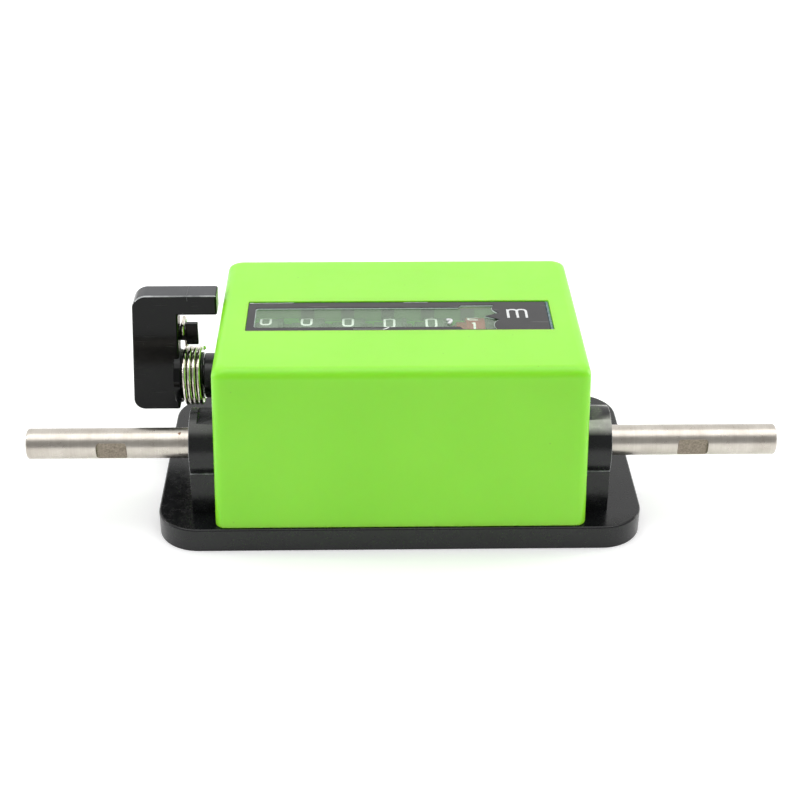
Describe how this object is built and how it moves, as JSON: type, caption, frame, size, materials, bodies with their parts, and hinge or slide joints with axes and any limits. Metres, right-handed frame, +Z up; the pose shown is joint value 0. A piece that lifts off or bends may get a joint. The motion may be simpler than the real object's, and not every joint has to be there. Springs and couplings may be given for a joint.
{
  "type": "mechanical length counter",
  "caption": "Green box counter on a black base plate with a through drive shaft, number wheels under a window and a sprung reset lever.",
  "frame": {"origin": "middle of the base plate's underside", "axes": "+X along the shaft to the plain end, +Y away from the reader, +Z up from the base"},
  "size_m": [0.1954, 0.069, 0.0531],
  "materials": {
    "green_cover": "smooth moulded plastic, light green, soft gloss",
    "black_base": "moulded black plastic, satin",
    "black_lever": "moulded black plastic, gloss",
    "black_frame": "moulded black plastic, satin",
    "mask_print": "printed black film",
    "clear_pane": "clear acrylic sheet",
    "nickel_shaft": "nickel plated, finely turned",
    "nickel_spring": "nickel plated wire",
    "bright_steel": "bright drawn",
    "spring_steel": "dark spring temper",
    "screw_steel": "zinc plated",
    "bearing_bronze": "oiled sintered bronze",
    "gear_brass": "machined",
    "white_plastic": "natural acetal",
    "black_wheel": "moulded, white numerals",
    "red_wheel": "moulded, white numerals"
  },
  "bodies": {
    "housing": {"base_plate": "black_base", "cover": "green_cover", "window_mask": "mask_print", "window_pane": "clear_pane", "left_frame": "black_frame", "right_frame": "black_frame", "wheel_axle": "bright_steel", "carry_axle": "bright_steel", "rear_tie_rod": "bright_steel", "front_tie_rod": "bright_steel", "wheel_axle_clip": "spring_steel", "carry_axle_clip": "spring_steel", "idler_stud": "bright_steel", "idler_clip": "spring_steel", "idler_spacer": "white_plastic", "axle_spacer": "white_plastic", "brake_comb": "spring_steel", "bearing_bush_left": "bearing_bronze", "bearing_bush_right": "bearing_bronze", "cover_screw_1": "screw_steel", "cover_screw_2": "screw_steel", "cover_screw_3": "screw_steel", "cover_screw_4": "screw_steel", "frame_screw_1": "screw_steel", "frame_screw_2": "screw_steel", "frame_screw_3": "screw_steel", "frame_screw_4": "screw_steel", "torsion_spring": "nickel_spring"},
    "drive_shaft": {"main_shaft": "nickel_shaft", "shaft_clip_left": "spring_steel", "shaft_clip_right": "spring_steel", "drive_gear": "gear_brass", "gear_set_screw": "spring_steel"},
    "idler": {"idler_gear": "white_plastic"},
    "tenths_wheel": {"wheel_tenths": "red_wheel", "input_gear": "white_plastic"},
    "ones_wheel": {"wheel_ones": "black_wheel"},
    "tens_wheel": {"wheel_tens": "black_wheel"},
    "hundreds_wheel": {"wheel_hundreds": "black_wheel"},
    "thousands_wheel": {"wheel_thousands": "black_wheel"},
    "ten_thousands_wheel": {"wheel_ten_thousands": "black_wheel"},
    "pinion_1": {"carry_pinion_1": "white_plastic"},
    "pinion_2": {"carry_pinion_2": "white_plastic"},
    "pinion_3": {"carry_pinion_3": "white_plastic"},
    "pinion_4": {"carry_pinion_4": "white_plastic"},
    "pinion_5": {"carry_pinion_5": "white_plastic"},
    "reset": {"reset_lever": "black_lever", "reset_rod": "bright_steel", "reset_comb": "white_plastic", "lever_pin": "bright_steel", "reset_rod_clip": "spring_steel"}
  },
  "joints": [
    {"name": "shaft_spin", "type": "hinge", "parent": "housing", "child": "drive_shaft", "pos_m": [0, -0.018, 0.023], "axis": [1, 0, 0], "continuous": true},
    {"name": "idler_spin", "type": "hinge", "parent": "housing", "child": "idler", "pos_m": [0, -0.003, 0.02274], "axis": [1, 0, 0], "continuous": true},
    {"name": "tenths_spin", "type": "hinge", "parent": "housing", "child": "tenths_wheel", "pos_m": [0, 0, 0.0382], "axis": [1, 0, 0], "continuous": true},
    {"name": "ones_spin", "type": "hinge", "parent": "housing", "child": "ones_wheel", "pos_m": [0, 0, 0.0382], "axis": [1, 0, 0], "continuous": true},
    {"name": "tens_spin", "type": "hinge", "parent": "housing", "child": "tens_wheel", "pos_m": [0, 0, 0.0382], "axis": [1, 0, 0], "continuous": true},
    {"name": "hundreds_spin", "type": "hinge", "parent": "housing", "child": "hundreds_wheel", "pos_m": [0, 0, 0.0382], "axis": [1, 0, 0], "continuous": true},
    {"name": "thousands_spin", "type": "hinge", "parent": "housing", "child": "thousands_wheel", "pos_m": [0, 0, 0.0382], "axis": [1, 0, 0], "continuous": true},
    {"name": "ten_thousands_spin", "type": "hinge", "parent": "housing", "child": "ten_thousands_wheel", "pos_m": [0, 0, 0.0382], "axis": [1, 0, 0], "continuous": true},
    {"name": "pinion_5_spin", "type": "hinge", "parent": "housing", "child": "pinion_5", "pos_m": [0, 0.01354, 0.0363], "axis": [1, 0, 0], "continuous": true},
    {"name": "pinion_4_spin", "type": "hinge", "parent": "housing", "child": "pinion_4", "pos_m": [0, 0.01354, 0.0363], "axis": [1, 0, 0], "continuous": true},
    {"name": "pinion_3_spin", "type": "hinge", "parent": "housing", "child": "pinion_3", "pos_m": [0, 0.01354, 0.0363], "axis": [1, 0, 0], "continuous": true},
    {"name": "pinion_2_spin", "type": "hinge", "parent": "housing", "child": "pinion_2", "pos_m": [0, 0.01354, 0.0363], "axis": [1, 0, 0], "continuous": true},
    {"name": "pinion_1_spin", "type": "hinge", "parent": "housing", "child": "pinion_1", "pos_m": [0, 0.01354, 0.0363], "axis": [1, 0, 0], "continuous": true},
    {"name": "reset_swing", "type": "hinge", "parent": "housing", "child": "reset", "pos_m": [0, 0.0105, 0.0272], "axis": [-1, 0, 0], "range_deg": [0, 60], "stiffness_Nm_per_rad": 0.15, "springref_deg": -28.65, "deforming": ["torsion_spring"]}
  ],
  "couplings": [
    {"joint": "idler_spin", "follows": "shaft_spin", "ratio": -0.66667},
    {"joint": "tenths_spin", "follows": "shaft_spin", "ratio": 0.33333},
    {"joint": "ones_spin", "follows": "shaft_spin", "ratio": 0.033333},
    {"joint": "tens_spin", "follows": "shaft_spin", "ratio": 0.0033333},
    {"joint": "hundreds_spin", "follows": "shaft_spin", "ratio": 0.00033333},
    {"joint": "thousands_spin", "follows": "shaft_spin", "ratio": 0.000033333},
    {"joint": "ten_thousands_spin", "follows": "shaft_spin", "ratio": 0.0000033333},
    {"joint": "pinion_5_spin", "follows": "shaft_spin", "ratio": -0.083333},
    {"joint": "pinion_4_spin", "follows": "shaft_spin", "ratio": -0.0083333},
    {"joint": "pinion_3_spin", "follows": "shaft_spin", "ratio": -0.00083333},
    {"joint": "pinion_2_spin", "follows": "shaft_spin", "ratio": -0.000083333},
    {"joint": "pinion_1_spin", "follows": "shaft_spin", "ratio": -0.0000083333}
  ]
}
